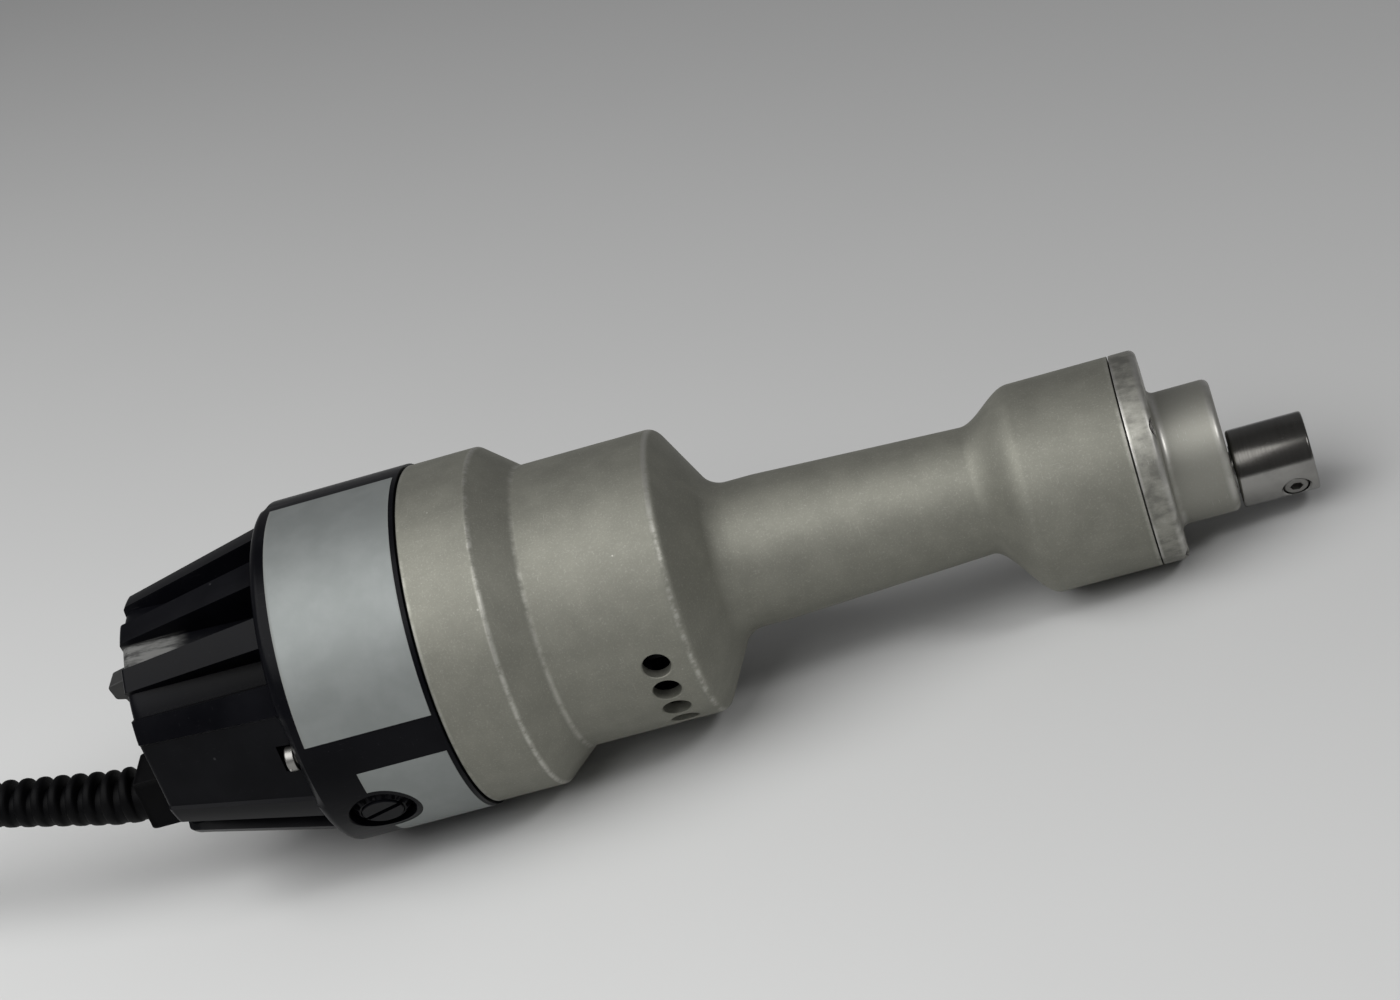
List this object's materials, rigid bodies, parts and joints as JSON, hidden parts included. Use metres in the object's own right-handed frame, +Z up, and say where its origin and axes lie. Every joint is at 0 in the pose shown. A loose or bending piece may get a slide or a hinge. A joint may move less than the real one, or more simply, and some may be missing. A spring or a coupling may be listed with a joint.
{
  "type": "autopsy saw",
  "caption": "Corded oscillating saw body without its blade: turned aluminium housing with a slim neck, offset blade arbor, slotted black rear cap, rocker switch, ribbed boot and mains cord.",
  "frame": {"origin": "centre of the saw's footprint on the surface it lies on, measured without its free cord", "axes": "+X along the saw towards the arbor, +Z up; the saw lies as pictured, its main axis dipping 4.9 degrees towards the nose"},
  "size_m": [0.4901, 0.1104, 0.0804],
  "materials": {
    "cast_aluminium": "bead-blasted, worn bright at the edges",
    "polished_steel": "polished",
    "dark_steel": "blackened",
    "bearing_steel": "ground",
    "black_plastic": "moulded, satin gloss",
    "black_rubber": "matte",
    "copper": "bare and enamelled copper",
    "brass": "bare",
    "carbon": "pressed carbon",
    "lamination_steel": "varnished sheets"
  },
  "bodies": {
    "saw": {"motor_housing": "cast_aluminium", "nose_cap": "cast_aluminium", "nose_screw_1": "dark_steel", "nose_screw_2": "dark_steel", "nose_screw_3": "dark_steel", "nose_screw_4": "dark_steel", "rear_cap": "black_plastic", "cap_screw_1": "polished_steel", "cap_screw_2": "polished_steel", "cap_screw_3": "polished_steel", "end_bracket": "cast_aluminium", "brush_cap_front": "black_plastic", "brush_cap_back": "black_plastic", "brush_holder_front": "brass", "brush_holder_back": "brass", "carbon_brush_front": "carbon", "carbon_brush_back": "carbon", "brush_spring_front": "polished_steel", "brush_spring_back": "polished_steel", "stator_core": "lamination_steel", "field_coil_top": "copper", "field_coil_bottom": "copper", "rear_bearing": "bearing_steel", "middle_bearing": "bearing_steel", "drive_bearing": "bearing_steel", "spindle_bearing": "bearing_steel", "nose_bush": "brass", "switch_body": "black_plastic", "strain_relief": "black_rubber", "cord_tube": "black_rubber", "cord_coil": "black_rubber", "cord_tail": "black_rubber", "plug_body": "black_rubber", "plug_blade_1": "brass", "plug_blade_2": "brass", "plug_ground_pin": "brass"},
    "armature": {"motor_shaft": "polished_steel", "armature_core": "lamination_steel", "winding_rear": "copper", "winding_front": "copper", "commutator": "copper", "cooling_fan": "black_plastic", "eccentric_bearing": "bearing_steel"},
    "spindle": {"spindle": "polished_steel", "fork": "dark_steel", "arbor_set_screw": "dark_steel"},
    "rocker": {"rocker": "black_plastic"}
  },
  "joints": [
    {"name": "armature_spin", "type": "hinge", "parent": "saw", "child": "armature", "pos_m": [0.12381, 0, 0.0263], "axis": [0.9964, 0, -0.0852], "continuous": true},
    {"name": "spindle_swing", "type": "hinge", "parent": "saw", "child": "spindle", "pos_m": [0.15889, 0, 0.01162], "axis": [0.9964, 0, -0.0852], "range_deg": [-2.5, 2.5]},
    {"name": "rocker_tilt", "type": "hinge", "parent": "saw", "child": "rocker", "pos_m": [-0.09687, 0, 0.0512], "axis": [0, 1, 0], "range_deg": [0, 24]}
  ]
}
